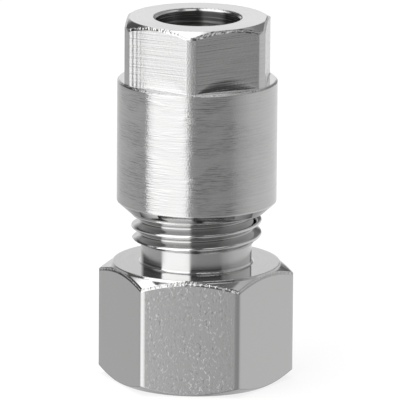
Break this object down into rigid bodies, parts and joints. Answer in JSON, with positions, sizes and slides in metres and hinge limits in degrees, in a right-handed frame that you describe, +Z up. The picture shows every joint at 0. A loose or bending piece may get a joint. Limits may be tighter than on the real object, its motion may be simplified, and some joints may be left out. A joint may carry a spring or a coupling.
{
  "type": "pneumatic fitting",
  "caption": "Push-on tube fitting: hexagonal body with a female port and a nipple, a union nut that screws down its stub, and a slotted clamping sleeve inside the nut.",
  "frame": {"origin": "centre of the body's lower face, where the port opens", "axes": "+Z up along the common axis of port, stub and nut; the larger hexagon has flats square to Y"},
  "size_m": [0.0196, 0.017, 0.0369],
  "materials": {
    "plated_body": "nickel-plated, satin",
    "plated_sleeve": "nickel-plated, satin",
    "plated_nut": "nickel-plated, satin"
  },
  "bodies": {
    "fitting": {"fitting_body": "plated_body"},
    "sleeve": {"clamping_sleeve": "plated_sleeve"},
    "nut": {"union_nut": "plated_nut"}
  },
  "joints": [
    {"name": "nut_travel", "type": "slide", "parent": "fitting", "child": "sleeve", "axis": [0, 0, 1], "range_m": [-0.00468, 0.00535]},
    {"name": "nut_turn", "type": "hinge", "parent": "sleeve", "child": "nut", "pos_m": [0, 0, 0.0305], "axis": [0, 0, 1], "range_deg": [-1260, 1440]}
  ],
  "couplings": [
    {"joint": "nut_travel", "follows": "nut_turn", "m_per_rad": 0.00021279}
  ]
}
